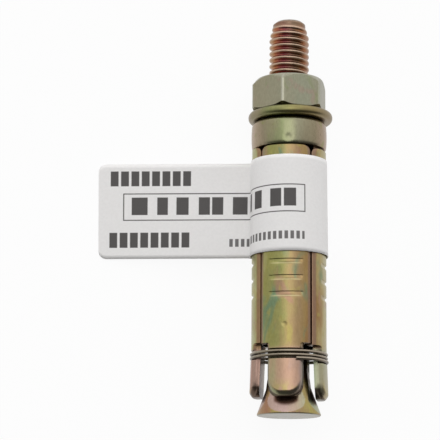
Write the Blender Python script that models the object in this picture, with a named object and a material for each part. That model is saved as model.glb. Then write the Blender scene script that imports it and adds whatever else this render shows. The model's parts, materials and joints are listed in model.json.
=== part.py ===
"""Shield anchor M8 x 75: a bolt with a forged cone, nut, washer, ferrule, four-part shield, wire ring and label.

Each piece is drawn upright on the anchor's own axis, in metres: z = 0 is the cone's flat end and the stud
points up. The front of the anchor is -Y. At the end everything is laid down as it comes to rest on a floor.
"""
import math

import bmesh
import bpy
from mathutils import Matrix, Vector

MM = 0.001

# Clearances
seat_gap = 0.3 * MM  # between faces that bear on each other
running_gap = 0.15 * MM  # between pieces that sit inside one another
paper_gap = 0.04 * MM
facets = 48  # sides of a turned piece

# Bolt
bolt_length = 75.7 * MM
stud_diameter = 7.6 * MM  # over the thread's crests
thread_pitch = 1.25 * MM
thread_run = 32.0 * MM
stud_end_diameter = 5.0 * MM
stud_end_height = 0.65 * MM  # of the chamfer that the end was cut with, down to the thread's root
shank_diameter = 7.2 * MM
cone_diameter = 12.0 * MM
cone_half_angle = math.radians(15.0)
cone_edge = 0.3 * MM

# Ramps scooped into the cone, one under each finger: steeper than the cone, and U-shaped at the foot
ramp_slope_angle = math.radians(20.5)
ramp_half_angle = math.radians(41.0)
ramp_side_slope = 0.4
ramp_foot = 0.25 * MM  # from the flat end to the scoop's lower edge
ramp_foot_rise = 2.6 * MM  # how much higher the lower edge is at the scoop's sides
ramp_narrowing = math.radians(3.5) / MM  # half angle lost upwards, past the foot

# Shield
shield_diameter = 14.0 * MM
shield_wall = 2.2 * MM
shield_slit = 0.3 * MM
shield_length = 47.0 * MM
shield_edge = (1.1 * MM, 0.35 * MM)  # width and drop of the bevel along a segment
shield_top_corner = 1.2 * MM
shield_lower_edge = 0.04 * MM
finger_tip_height = 3.1 * MM  # above the cone's flat end
finger_length = 9.77 * MM
finger_width = 6.54 * MM
finger_wall = 2.15 * MM
finger_edge = (0.95 * MM, 0.6 * MM)
tip_width = 3.6 * MM
tip_corner_length = 2.5 * MM
tip_edge = (0.95 * MM, 0.65 * MM)
grip_groove_count = 5
grip_groove_pitch = 3.05 * MM
grip_groove_depth = 0.35 * MM
grip_groove_height = 0.85 * MM
grip_groove_half_angle = math.radians(26.0)
grip_groove_clock = math.radians(2.0)  # the grooves were rolled a little off the segment's middle
first_grip_groove = 9.05 * MM  # from the fingers' shoulder to the middle of the lowest groove
dimple_diameter = 1.1 * MM
dimple_depth = 0.25 * MM
dimple_height = 3.35 * MM  # from the fingers' shoulder
segment_names = ("front", "right", "back", "left")
segment_slips = (0.0, -0.25 * MM, 0.0, 0.2 * MM)  # the loose segments lie a little up or down

# Ferrule that holds the segments' heads
ferrule_diameter = 14.3 * MM
ferrule_wall = 0.6 * MM
ferrule_height = 5.2 * MM
ferrule_shoulder = 0.9 * MM
ferrule_belly = 0.08 * MM
lip_height = 0.7 * MM
lip_turn_in = 0.35 * MM
head_play = 0.25 * MM  # more room lengthwise, so that a segment can slip

# Wire ring round the fingers
wire_diameter = 0.62 * MM
wire_turns = 2
wire_lead = 0.78 * MM
wire_end_lead = 0.68 * MM  # the loose end lies lower and outside the groove, on the right finger
wire_step = math.radians(28.0)  # of a turn, in which the wire steps down between two fingers
ring_below_shoulder = 1.91 * MM
ring_groove_depth = 0.45 * MM

# Washer and nut
washer_diameter = 16.0 * MM
washer_thickness = 1.6 * MM
washer_edge = 0.45 * MM
nut_across_flats = 13.0 * MM
nut_across_corners = 14.76 * MM  # the corners are taken off a little
nut_height = 6.2 * MM
nut_face_share = 0.93  # diameter of the bearing face over the width across flats
nut_chamfer_angle = math.radians(33.0)
nut_countersink = 0.5 * MM

# Paper label, wrapped round the shield with its ends stuck together as a flag
label_width = 18.3 * MM  # along the anchor
label_height = 29.8 * MM  # of its lower edge above the cone's flat end
paper = 0.12 * MM
flag_reach = 36.2 * MM  # from the anchor's axis
flag_set_back = 1.35 * MM
flag_corner = 1.2 * MM

# How the pieces are turned, from the front towards the right
shield_clock = math.radians(-9.0)
nut_clock = math.radians(-12.0)  # of a corner
wire_end_clock = math.radians(14.0)

# Tightening, which the label leaves room for
nut_turns = 1.0

# Worked out from the sizes above
shield_radius = shield_diameter / 2
stud_radius = stud_diameter / 2
slip_room = max(abs(slip) for slip in segment_slips)
ring_groove_height = wire_lead + wire_diameter + 2 * slip_room + running_gap
shank_radius = shank_diameter / 2
cone_radius = cone_diameter / 2
cone_slope = math.tan(cone_half_angle)
shoulder_height = finger_tip_height + finger_length
shield_top = finger_tip_height + shield_length
ferrule_low = shield_top + seat_gap
ferrule_top = ferrule_low + ferrule_height
ferrule_bore = ferrule_diameter / 2 - ferrule_wall
lip_bore = ferrule_bore - lip_turn_in
head_radius = ferrule_bore - running_gap
neck_radius = lip_bore - running_gap
head_low = ferrule_low + lip_height + running_gap + head_play
head_top = ferrule_top - ferrule_wall - running_gap - head_play
washer_low = ferrule_top + seat_gap
nut_low = washer_low + washer_thickness + seat_gap
clear_bore = stud_radius + seat_gap
pivot_radius = neck_radius
pivot_height = ferrule_low + lip_height / 2
bolt_travel = nut_turns * thread_pitch
ramp_slope = math.tan(ramp_slope_angle)
spread_angle = bolt_travel * ramp_slope / (pivot_height - finger_tip_height)


def clear_scene():
    for thing in list(bpy.data.objects):
        bpy.data.objects.remove(thing, do_unlink=True)


def metal(name, colour, roughness):
    material = bpy.data.materials.new(name)
    material.use_nodes = True
    shader = material.node_tree.nodes["Principled BSDF"]
    shader.inputs["Base Color"].default_value = (*colour, 1.0)
    shader.inputs["Roughness"].default_value = roughness
    shader.inputs["Metallic"].default_value = 1.0
    return material


def paper_stock(name, colour):
    material = metal(name, colour, 0.6)
    material.node_tree.nodes["Principled BSDF"].inputs["Metallic"].default_value = 0.0
    return material


def cone_radius_at(height):
    return cone_radius - cone_slope * height


def ramp_radius_at(height):
    """Distance of a ramp's floor from the axis, along the middle of the scoop."""
    return cone_radius_at(height) - (ramp_slope - cone_slope) * (height - ramp_foot)


def finger_inside_at(height):
    """Distance of a finger's flat inner face from the axis: seated on the ramp at the tip, flush at the top."""
    at_tip = ramp_radius_at(finger_tip_height) + seat_gap
    at_top = shield_radius - shield_wall
    share = (height - finger_tip_height) / finger_length
    return at_tip + (at_top - at_tip) * share


def finger_outside_at(height):
    at_tip = finger_inside_at(finger_tip_height) + finger_wall
    share = (height - finger_tip_height) / finger_length
    return at_tip + (shield_radius - at_tip) * share


def quarter_round(share):
    """Height of a quarter circle of radius 1 over its foot, 0 at the foot and 1 at the crown."""
    return math.sqrt(max(0.0, 1 - (1 - min(share, 1.0)) ** 2))


def mesh_of(bm, name):
    bmesh.ops.recalc_face_normals(bm, faces=bm.faces)
    mesh = bpy.data.meshes.new(name)
    bm.to_mesh(mesh)
    bm.free()
    mesh.shade_smooth()
    mesh.set_sharp_from_angle(angle=math.radians(32))
    return mesh


def turned(outline, closed=False, sides=facets):
    """A full turn of an outline of (radius, height) points about the axis."""
    bm = bmesh.new()
    verts = [bm.verts.new((radius, 0, height)) for radius, height in outline]
    edges = [bm.edges.new(pair) for pair in zip(verts, verts[1:])]
    if closed:
        edges.append(bm.edges.new((verts[-1], verts[0])))
    bmesh.ops.spin(
        bm, geom=verts + edges, cent=(0, 0, 0), axis=(0, 0, 1), angle=math.tau, steps=sides, use_merge=True
    )
    bmesh.ops.remove_doubles(bm, verts=bm.verts, dist=1e-7)
    return bm


def lofted(sections):
    """A solid drawn through closed sections that have the same number of points."""
    bm = bmesh.new()
    ring = [bm.verts.new(point) for point in sections[0]]
    first_cap = cap = bm.faces.new(ring)
    for section in sections[1:]:
        grown = bmesh.ops.extrude_face_region(bm, geom=[cap])["geom"]
        if cap is not first_cap:
            bm.faces.remove(cap)
        cap = next(item for item in grown if isinstance(item, bmesh.types.BMFace))
        fresh = set(cap.verts)
        ring = [next(edge.other_vert(vert) for edge in vert.link_edges if edge.other_vert(vert) in fresh)
                for vert in ring]
        for vert, point in zip(ring, section):
            vert.co = point
    return bm


def boolean(mesh, tool_mesh, operation, name):
    """The mesh after one exact cut, join or intersection with the tool's mesh."""
    body = bpy.data.objects.new(name, mesh)
    tool = bpy.data.objects.new(name + "_cutter", tool_mesh)
    tool.hide_render = True
    tool.display_type = "WIRE"
    for thing in (body, tool):
        bpy.context.scene.collection.objects.link(thing)
    change = body.modifiers.new("cut", "BOOLEAN")
    change.operation = operation
    change.solver = "EXACT"
    change.object = tool
    graph = bpy.context.evaluated_depsgraph_get()
    result = bpy.data.meshes.new_from_object(body.evaluated_get(graph))
    for thing in (body, tool):
        bpy.data.objects.remove(thing)
    result.name = name
    result.shade_smooth()
    result.set_sharp_from_angle(angle=math.radians(32))
    return result


def place(name, mesh, material, parent, location=(0, 0, 0), turn=0.0):
    thing = bpy.data.objects.new(name, mesh)
    mesh.materials.clear()
    mesh.materials.append(material)
    thing.parent = parent
    thing.location = location
    thing.rotation_euler = (0, 0, turn)
    bpy.context.scene.collection.objects.link(thing)
    return thing


def heading(clock):
    """Rotation about the axis that brings +X to a clock angle counted from the front, -Y."""
    return clock - math.pi / 2


def ramp_cutter():
    """One scoop for a finger: a sheet shaped to the ramp's floor and sides, thickened outwards."""
    bm = bmesh.new()
    across, along = 24, 14
    bmesh.ops.create_grid(bm, x_segments=across, y_segments=along, size=1)
    reach = ramp_half_angle + math.radians(3)
    low, high = -0.3 * MM, 6.8 * MM

    def surface(vert):
        angle = vert.co.x * reach
        height = low + (high - low) * ((vert.co.y + 1) / 2) ** 1.3
        half_angle = ramp_half_angle - ramp_narrowing * max(0.0, height - ramp_foot - ramp_foot_rise)
        foot = ramp_foot + ramp_foot_rise * (1 - quarter_round(1 - min(1.0, abs(angle) / half_angle)))
        floor = (ramp_slope - cone_slope) * (height - foot)
        side = (half_angle - abs(angle)) * cone_radius_at(height) * ramp_side_slope
        radius = max(cone_radius_at(height) - min(floor, side), shank_radius + 0.02 * MM)
        return angle, radius, height

    for vert in bm.verts:
        angle, radius, height = surface(vert)
        vert.co = (radius * math.cos(angle), radius * math.sin(angle), height)
    grown = bmesh.ops.extrude_face_region(bm, geom=bm.faces[:])["geom"]
    for vert in (item for item in grown if isinstance(item, bmesh.types.BMVert)):
        flat = Vector((vert.co.x, vert.co.y, 0)).normalized()
        vert.co += flat * 2.5 * MM
    return bm


def repeated(bm, count, first_turn):
    """The same closed shape at equal turns about the axis, in one mesh."""
    pattern = bm.copy()
    bm.clear()
    for index in range(count):
        copy = pattern.copy()
        turn = Matrix.Rotation(first_turn + index * math.tau / count, 3, "Z")
        bmesh.ops.rotate(copy, verts=copy.verts, cent=(0, 0, 0), matrix=turn)
        mesh = bpy.data.meshes.new("copy")
        copy.to_mesh(mesh)
        bm.from_mesh(mesh)
        copy.free()
        bpy.data.meshes.remove(mesh)
    pattern.free()
    return bm


def bolt_mesh():
    thread_depth = 0.4 * thread_pitch
    thread_low = bolt_length - thread_run
    step = stud_radius - shank_radius
    outline = [
        (0, 0),
        (cone_radius - cone_slope * cone_edge - cone_edge, 0),
        (cone_radius_at(cone_edge), cone_edge),
        (shank_radius, (cone_radius - shank_radius) / cone_slope),
        (shank_radius, thread_low),
        (stud_radius, thread_low + step),
        (stud_radius, bolt_length - stud_end_height - 2 * thread_depth),
        (stud_radius - thread_depth, bolt_length - stud_end_height),
        (stud_end_diameter / 2, bolt_length),
        (0, bolt_length),
    ]
    body = mesh_of(turned(outline, sides=2 * facets), "bolt_body")
    scoops = mesh_of(repeated(ramp_cutter(), len(segment_names), heading(shield_clock)), "scoops")
    return boolean(body, scoops, "DIFFERENCE", "cone_bolt")


def nut_mesh():
    outer = nut_across_corners / 2
    face_radius = nut_across_flats / 2 * nut_face_share
    drop = (outer - face_radius) * math.tan(nut_chamfer_angle)
    low, high = nut_low, nut_low + nut_height
    outline = [
        (clear_bore, low + nut_countersink),
        (clear_bore + nut_countersink, low),
        (face_radius, low),
        (outer, low + drop),
        (outer, high - drop),
        (face_radius, high),
        (clear_bore + nut_countersink, high),
        (clear_bore, high - nut_countersink),
    ]
    turned_blank = mesh_of(turned(outline, closed=True), "nut_blank")
    hexagon = bmesh.new()
    sharp_corner = nut_across_flats / math.sqrt(3)
    corner_in_front = Matrix.Rotation(math.pi / 2, 4, "Z")
    bmesh.ops.create_cone(
        hexagon,
        cap_ends=True,
        segments=6,
        radius1=sharp_corner,
        radius2=sharp_corner,
        depth=2 * nut_height,
        matrix=Matrix.Translation((0, 0, nut_low + nut_height / 2)) @ corner_in_front,
    )
    return boolean(turned_blank, mesh_of(hexagon, "hexagon"), "INTERSECT", "nut")


def rounded_corner(centre, radius, start, steps):
    """Points of a quarter circle in (radius, height), turning anticlockwise from the start angle."""
    return [
        (centre[0] + radius * math.cos(start + step / steps * math.pi / 2),
         centre[1] + radius * math.sin(start + step / steps * math.pi / 2))
        for step in range(steps + 1)
    ]


def washer_mesh():
    outer = washer_diameter / 2
    low, high = washer_low, washer_low + washer_thickness
    outline = [(clear_bore, high), (clear_bore, low)]
    outline += rounded_corner((outer - washer_edge, low + washer_edge), washer_edge, -math.pi / 2, 3)
    outline += rounded_corner((outer - washer_edge, high - washer_edge), washer_edge, 0, 3)
    return mesh_of(turned(outline, closed=True), "washer")


def ferrule_mesh():
    """A drawn cup: flat top with a hole, round shoulder, slightly barrelled wall and a lip turned in below."""
    outer = ferrule_diameter / 2
    inner_shoulder = ferrule_shoulder - ferrule_wall
    side_low = ferrule_low + lip_height
    side_high = ferrule_top - ferrule_shoulder
    hole = clear_bore + seat_gap
    outline = [
        (lip_bore, side_low - ferrule_wall / 3),
        (lip_bore, ferrule_low + 0.1 * MM),
        (lip_bore + 0.1 * MM, ferrule_low),
        (outer - lip_turn_in, ferrule_low),
        (outer - lip_turn_in / 3, ferrule_low + lip_height / 3),
        (outer - ferrule_belly, side_low),
        (outer, (side_low + side_high) / 2),
        (outer - ferrule_belly, side_high),
    ]
    outline += rounded_corner((outer - ferrule_belly - ferrule_shoulder, side_high), ferrule_shoulder, 0, 5)[1:]
    outline += [(hole, ferrule_top), (hole, ferrule_top - ferrule_wall)]
    outline += rounded_corner(
        (ferrule_bore - inner_shoulder, ferrule_top - ferrule_wall - inner_shoulder), inner_shoulder, 0, 2
    )[::-1]
    outline += [(ferrule_bore, side_low)]
    return mesh_of(turned(outline, closed=True), "ferrule")


def slit_angle(radius):
    """Angle from a segment's middle to its side at this radius, leaving half a slit beside it."""
    return math.pi / 4 - math.asin(shield_slit / 2 / radius)


def section(height, outside, edge, side_at, inner_points):
    """Outline of a segment or finger across the axis, from its inner corner round the outside.

    edge is the width and drop of the bevel along both sides, side_at gives the half width as an angle for a
    radius, and inner_points the points of the inner face.
    """
    crown_steps = 12
    width, drop = edge
    crown = side_at(outside - drop) - width / outside
    right = [(crown + width / outside * share, outside - drop * share**1.3) for share in (0.15, 0.6, 1.0)]
    angles = [(crown * (2 * step / crown_steps - 1), outside) for step in range(crown_steps + 1)]
    outer = [(-angle, radius) for angle, radius in reversed(right)] + angles + right
    points = [(radius * math.cos(angle), radius * math.sin(angle)) for angle, radius in outer]
    points += inner_points
    return [Vector((u, t, height)) for u, t in points]


def body_section(height, outside, edge=shield_edge, draw_in=0.0):
    """A quarter of the shield. draw_in takes width off both sides, for the rounded top corners."""
    inside = shield_radius - shield_wall
    steps = 6

    def side_at(radius):
        return slit_angle(radius) - draw_in / radius

    reach = side_at(inside)
    inner = [
        (inside * math.cos(angle), inside * math.sin(angle))
        for angle in (reach * (1 - 2 * step / steps) for step in range(steps + 1))
    ]
    return section(height, outside, edge, side_at, inner)


def finger_section(height, outside, half_width, edge=finger_edge):
    """A finger: round outside, flat inside, with parallel sides."""
    inside = finger_inside_at(height)
    steps = 6
    inner = [(inside, half_width * (1 - 2 * step / steps)) for step in range(steps + 1)]
    return section(height, outside, edge, lambda radius: math.asin(half_width / radius), inner)


def finger_sections():
    """From the rounded tip up to the shoulder, with the wire's groove cut all the way across."""
    full, narrow = finger_width / 2, tip_width / 2
    sections = []
    for above in (0.0, 0.1, 0.3, 0.6, tip_edge[0] / MM, 1.6, tip_corner_length / MM):
        height = finger_tip_height + above * MM
        half_width = narrow + (full - narrow) * quarter_round(above * MM / tip_corner_length)
        outside = finger_outside_at(height) - tip_edge[1] * max(0.0, 1 - above * MM / tip_edge[0])
        sections.append(finger_section(height, outside, half_width))
    middle = shoulder_height - ring_below_shoulder
    for height, depth in (
        (middle - ring_groove_height / 2, 0),
        (middle - ring_groove_height / 2 + 0.05 * MM, ring_groove_depth),
        (middle + ring_groove_height / 2 - 0.05 * MM, ring_groove_depth),
        (middle + ring_groove_height / 2, 0),
    ):
        edge = (finger_edge[0], finger_edge[1] - depth)
        sections.append(finger_section(height, finger_outside_at(height) - depth, full, edge))
    sections.append(finger_section(shoulder_height, shield_radius, full))
    return sections


def head_sections():
    """The quarter shell, its rounded top corners, the neck behind the ferrule's lip and the head above it."""
    sections = [
        body_section(shoulder_height, shield_radius - shield_lower_edge),
        body_section(shoulder_height + shield_lower_edge, shield_radius),
    ]
    for share in (1.0, 0.5, 0.2, 0.0):
        draw_in = shield_top_corner * (1 - quarter_round(share))
        sections.append(body_section(shield_top - share * shield_top_corner, shield_radius, draw_in=draw_in))
    small_edge = (0.2 * MM, 0.2 * MM)
    sections += [
        body_section(shield_top, neck_radius, small_edge, shield_top_corner),
        body_section(head_low, neck_radius, small_edge, shield_top_corner),
        body_section(head_low, head_radius, small_edge, shield_top_corner),
        body_section(head_top - small_edge[1], head_radius, small_edge, shield_top_corner),
        body_section(head_top, head_radius - small_edge[1], small_edge, shield_top_corner),
    ]
    return sections


def groove_cutter(height):
    """A grip groove with slanting sides that runs out at both ends."""
    floor = shield_radius - grip_groove_depth
    proud = shield_radius + grip_groove_depth
    half = grip_groove_height / 2
    flare = half * (1 + 2 * grip_groove_depth / grip_groove_height)
    steps = 10
    sections = []
    for step in range(-1, steps + 2):
        share = 2 * step / steps - 1
        angle = grip_groove_clock + grip_groove_half_angle * max(-1.12, min(1.12, share))
        lift = proud - floor if abs(share) > 1 else 0.0
        sections.append([
            Vector((radius * math.cos(angle), radius * math.sin(angle), height + rise))
            for radius, rise in (
                (floor + lift, -half * 0.6),
                (floor + lift, half * 0.6),
                (proud + lift + 0.2 * MM, flare),
                (proud + lift + 0.2 * MM, -flare),
            )
        ])
    return lofted(sections)


def segment_cutters():
    """Every groove and the punch mark, as closed shapes in one mesh."""
    tools = bmesh.new()
    for index in range(grip_groove_count):
        height = shoulder_height + first_grip_groove + index * grip_groove_pitch
        groove = mesh_of(groove_cutter(height), "groove")
        tools.from_mesh(groove)
        bpy.data.meshes.remove(groove)
    ball_radius = (dimple_diameter**2 / 4 + dimple_depth**2) / (2 * dimple_depth)
    centre = (shield_radius - dimple_depth + ball_radius, 0, shoulder_height + dimple_height)
    bmesh.ops.create_icosphere(tools, subdivisions=2, radius=ball_radius, matrix=Matrix.Translation(centre))
    return mesh_of(tools, "segment_cutters")


def segment_mesh():
    """One segment, with its middle along +X and its origin on its hinge axis at the ferrule's lip."""
    blank = mesh_of(lofted(finger_sections() + head_sections()), "segment_blank")
    mesh = boolean(blank, segment_cutters(), "DIFFERENCE", "shield_segment")
    mesh.transform(Matrix.Translation((-pivot_radius, 0, -pivot_height)))
    return mesh


def steps_down(gone):
    """How many leads the wire has come down after this angle, with each step in one gap between fingers."""
    level = 0.0
    for turn in range(1, wire_turns + 1):
        share = (gone - turn * math.tau) / wire_step + 0.5
        share = min(1.0, max(0.0, share))
        level += share * share * (3 - 2 * share)
    return level


def ring_curve():
    """Spring wire that lies flat in the fingers' groove for two turns, with its end outside on one finger."""
    top = shoulder_height - ring_below_shoulder + wire_lead / 2
    end_height = top - wire_lead - wire_end_lead
    in_groove = finger_outside_at(top) - ring_groove_depth + running_gap + wire_diameter / 2
    on_finger = finger_outside_at(end_height) + running_gap / 2 + wire_diameter / 2
    gap_clock = shield_clock + math.tau * 3 / 8
    start, end = wire_step / 2, wire_turns * math.tau + gap_clock - wire_end_clock
    curve = bpy.data.curves.new("retaining_ring", "CURVE")
    curve.dimensions = "3D"
    curve.bevel_depth = wire_diameter / 2
    curve.bevel_resolution = 1
    curve.use_fill_caps = True
    count = 100
    spline = curve.splines.new("POLY")
    spline.points.add(count)
    for index, point in enumerate(spline.points):
        gone = start + (end - start) * index / count
        level = steps_down(gone)
        past_groove = max(0.0, level - 1)
        angle = heading(gap_clock) - gone
        radius = in_groove + (on_finger - in_groove) * past_groove
        height = top - wire_lead * min(1.0, level) - wire_end_lead * past_groove
        point.co = (radius * math.cos(angle), radius * math.sin(angle), height, 1)
    return curve


def loop_radius_at(height):
    """Inside of the paper loop, which leaves the segments just room to spread."""
    return shield_radius + spread_angle * (pivot_height - height) + paper_gap


def label_mesh():
    low, high = label_height, label_height + label_width
    loop = mesh_of(
        turned(
            [
                (loop_radius_at(low), low),
                (loop_radius_at(low) + paper, low),
                (loop_radius_at(high) + paper, high),
                (loop_radius_at(high), high),
            ],
            closed=True,
        ),
        "label_loop",
    )
    bm = bmesh.new()

    def root(height):
        middle = loop_radius_at(height) + paper / 2
        return -math.sqrt(middle**2 - flag_set_back**2)

    face = bm.faces.new([
        bm.verts.new((x, flag_set_back - paper, z))
        for x, z in ((-flag_reach, low), (root(low), low), (root(high), high), (-flag_reach, high))
    ])
    grown = bmesh.ops.extrude_face_region(bm, geom=[face])["geom"]
    bmesh.ops.translate(bm, verts=[v for v in grown if isinstance(v, bmesh.types.BMVert)], vec=(0, 2 * paper, 0))
    corners = [
        edge for edge in bm.edges
        if all(abs(v.co.x + flag_reach) < 1e-6 for v in edge.verts) and abs(edge.verts[0].co.y - edge.verts[1].co.y) > paper
    ]
    bmesh.ops.bevel(
        bm, geom=corners, offset=flag_corner, segments=5, profile=0.5, affect="EDGES", material=-1
    )
    return boolean(loop, mesh_of(bm, "label_flag"), "UNION", "label")


def resting_matrix():
    """Lays the anchor on its washer, its rear finger and the corner of its flag."""
    washer_radius = washer_diameter / 2
    touch_height = finger_tip_height + tip_edge[0]
    touch_radius = finger_outside_at(touch_height)
    washer_touch = washer_low + washer_edge
    lean = math.atan((washer_radius - touch_radius) / (washer_touch - touch_height))
    floor_below_label = washer_radius - (washer_touch - label_height) * math.tan(lean)
    flag_edge = math.hypot(flag_reach, flag_set_back + paper)
    flag_angle = math.asin((flag_set_back + paper) / flag_edge)
    roll = math.acos(floor_below_label / flag_edge)
    roll = math.pi / 2 - roll - flag_angle
    turned_over = Matrix.Rotation(-math.pi / 2, 4, "X")
    posed = Matrix.Rotation(lean, 4, "X") @ Matrix.Rotation(-roll, 4, "Y") @ turned_over
    lift = washer_radius * math.cos(lean) - washer_touch * math.sin(lean)
    left = -flag_edge * math.cos(roll + flag_angle)
    return Matrix.Translation((-(left + washer_radius) / 2, -bolt_length / 2, lift)) @ posed


def build():
    clear_scene()
    anchor = bpy.data.objects.new("anchor_axis", None)
    bpy.context.scene.collection.objects.link(anchor)
    zinc = metal("passivated_zinc", (0.55, 0.47, 0.26), 0.35)
    brown_zinc = metal("brown_zinc", (0.42, 0.28, 0.2), 0.35)
    grey_zinc = metal("grey_zinc", (0.5, 0.48, 0.38), 0.38)
    olive_zinc = metal("olive_zinc", (0.5, 0.46, 0.27), 0.4)
    pale_zinc = metal("pale_zinc", (0.56, 0.5, 0.38), 0.36)
    wire_steel = metal("wire_steel", (0.6, 0.57, 0.5), 0.3)
    stock = paper_stock("label_paper", (0.8, 0.8, 0.79))

    place("cone_bolt", bolt_mesh(), brown_zinc, anchor)
    place("nut", nut_mesh(), grey_zinc, anchor, turn=heading(nut_clock))
    place("washer", washer_mesh(), olive_zinc, anchor)
    place("ferrule", ferrule_mesh(), pale_zinc, anchor)
    shared = segment_mesh()
    for index, (name, slip) in enumerate(zip(segment_names, segment_slips)):
        turn = heading(shield_clock + index * math.tau / len(segment_names))
        pivot = (pivot_radius * math.cos(turn), pivot_radius * math.sin(turn), pivot_height + slip)
        place("shield_segment_" + name, shared, zinc, anchor, location=pivot, turn=turn)
    place("retaining_ring", ring_curve(), wire_steel, anchor)
    place("label", label_mesh(), stock, anchor)
    anchor.matrix_world = resting_matrix()


build()
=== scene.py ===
import json
import math
from functools import partial

import bmesh
import bpy
from mathutils import Matrix, Vector


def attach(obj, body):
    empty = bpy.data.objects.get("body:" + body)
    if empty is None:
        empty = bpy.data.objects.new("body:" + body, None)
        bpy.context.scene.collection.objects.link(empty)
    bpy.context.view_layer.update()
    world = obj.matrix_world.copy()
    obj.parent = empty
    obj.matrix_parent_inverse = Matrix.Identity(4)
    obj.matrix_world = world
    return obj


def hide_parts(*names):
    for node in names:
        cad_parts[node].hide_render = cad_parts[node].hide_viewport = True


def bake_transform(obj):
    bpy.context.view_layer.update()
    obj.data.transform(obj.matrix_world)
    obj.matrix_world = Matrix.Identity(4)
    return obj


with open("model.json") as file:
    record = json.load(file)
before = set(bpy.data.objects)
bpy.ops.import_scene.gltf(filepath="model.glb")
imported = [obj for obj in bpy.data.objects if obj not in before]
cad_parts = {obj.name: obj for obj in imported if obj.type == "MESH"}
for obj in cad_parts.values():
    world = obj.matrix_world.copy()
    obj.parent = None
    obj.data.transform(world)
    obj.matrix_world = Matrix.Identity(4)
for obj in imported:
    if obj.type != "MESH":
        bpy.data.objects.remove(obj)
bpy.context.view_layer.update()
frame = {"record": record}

# The anchor's own axis, taken from the record. Pieces are drawn upright in millimetres: z = 0 is the cone's
# flat end, the stud points up and the front is -Y. laid puts them where they lie.
joints = {joint["name"]: joint for joint in frame["record"]["behaviour"]["joints"]}
mounts = {mount["name"]: mount for mount in frame["record"]["mounts"]}
shield_clock = math.radians(-9.0)
nut_clock = math.radians(-12.0)
wire_end_clock = math.radians(8.0)
cone_end = Vector(mounts["cone_end_face"]["pos_m"])
stud_way = Vector(joints["bolt_draw"]["axis"]).normalized()
front_out = stud_way.cross(Vector(joints["segment_front_spread"]["axis"])).normalized()
front_round = stud_way.cross(front_out)
front_heading = shield_clock - math.pi / 2
right_way = math.cos(front_heading) * front_out - math.sin(front_heading) * front_round
back_way = math.sin(front_heading) * front_out + math.cos(front_heading) * front_round
laid = Matrix.Translation(cone_end) @ Matrix((right_way, back_way, stud_way)).transposed().to_4x4()
laid_mm = laid @ Matrix.Scale(0.001, 4)

# Sizes in millimetres
bolt_length = 75.7
stud_end_face_radius = 1.6
crest_radius = 3.8
root_radius = 3.3
stud_end_radius = 2.5
thread_pitch = 1.25
thread_low = 54.0
thread_start = 0.94  # of a turn
runout_length = 1.4
runout_slope = 0.28
stud_end_slope = 1.25
shank_radius = 3.6
cone_radius = 6.0
cone_edge = 0.2
cone_edge_inset = 0.28
cone_slope = math.tan(math.radians(15.0))
ramp_slope = math.tan(math.radians(20.5))
ramp_half_angle = math.radians(41.0)
ramp_side_slope = 0.4
ramp_foot = 0.25
ramp_foot_rise = 2.6
ramp_narrowing = math.radians(3.5)

shield_radius = 7.0
shield_wall = 2.2
shield_slit = 0.3
shield_top = 50.1
shield_edge = (1.1, 0.35)
finger_edge = (0.95, 0.6)
tip_corner_height = 2.5
tip_round = 3.1
shield_top_corner = 1.2
neck_radius, head_radius = 6.05, 6.4
head_low, head_top = 51.5, 54.5
shoulder_height = 12.87
tip_height = 3.1
tip_inside = 5.18
tip_outside = 7.33
finger_half_width = 3.27
tip_half_width = 1.8
groove_heights = [shoulder_height + 9.05 + 3.05 * index for index in range(5)]
groove_depth = 0.3
groove_half_angle = math.radians(26.0)
groove_clock = math.radians(2.0)
dimple_height = shoulder_height + 3.35
ring_height = shoulder_height - 1.91
ring_groove_depth = 0.45
ring_groove_below, ring_groove_above = 1.0, 0.86
wire_radius = 0.31
wire_turns = 2
wire_gap = 0.03
wire_lead = 0.7
wire_end_lead = 0.68
wire_step = math.radians(28.0)
segment_names = ("front", "right", "back", "left")
segment_slips = (0.0, -0.25, 0.0, 0.2)

ferrule_low = 50.25
ferrule_top = 55.6
ferrule_radius = 7.15
ferrule_bore_radius = 6.55
ferrule_lip_radius = 6.2
ferrule_hole_radius = 4.4
ferrule_roof = 0.6
dent_radius, dent_depth, dent_height = 1.0, 0.2, 51.4
washer_low = 55.75
washer_high = 57.6
washer_aside = 0.25
washer_radius = 8.0
washer_bore_radius = 4.15
washer_edge = 0.85
nut_low = 57.8
nut_high = 64.0
nut_half_flats = 6.5
nut_corner_radius = 7.38
nut_foot_radius, nut_crown_radius = 6.6, 6.3
nut_foot_slope, nut_crown_slope = 0.65, 1.2
nut_bore_radius = 4.06
nut_countersink = 0.6
label_low = 29.8
label_high = 48.1
label_loop_radius = 7.07
label_loop_flare = 0.0091
flag_reach = 36.2
flag_droop = 0.014
flag_end_slant = 0.018
label_corner = 1.5
paper_thickness = 0.11


def smooth_step(low, high, value):
    share = min(1.0, max(0.0, (value - low) / (high - low)))
    return share * share * (3 - 2 * share)


def quarter_round(share):
    return math.sqrt(max(0.0, 1 - (1 - min(share, 1.0)) ** 2))


# Making pieces


def piece(name, bm, body, node=None, sharp=32):
    """Puts a drawn piece where it lies, smooths it and sends it along with its body."""
    bmesh.ops.remove_doubles(bm, verts=bm.verts, dist=0.0005)
    bmesh.ops.recalc_face_normals(bm, faces=bm.faces)
    bmesh.ops.transform(bm, matrix=laid_mm, verts=bm.verts)
    mesh = bpy.data.meshes.new(name)
    bm.to_mesh(mesh)
    bm.free()
    mesh.shade_smooth()
    mesh.set_sharp_from_angle(angle=math.radians(sharp))
    thing = bpy.data.objects.new(name, mesh)
    bpy.context.scene.collection.objects.link(thing)
    if body:
        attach(thing, body)
    if node:
        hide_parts(node)
    return thing


def mark(bm, name, value_at):
    """Keeps a number from 0 to 1 on every point, for the materials."""
    layer = bm.verts.layers.float.new(name)
    for vert in bm.verts:
        vert[layer] = value_at(vert.co)


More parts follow.
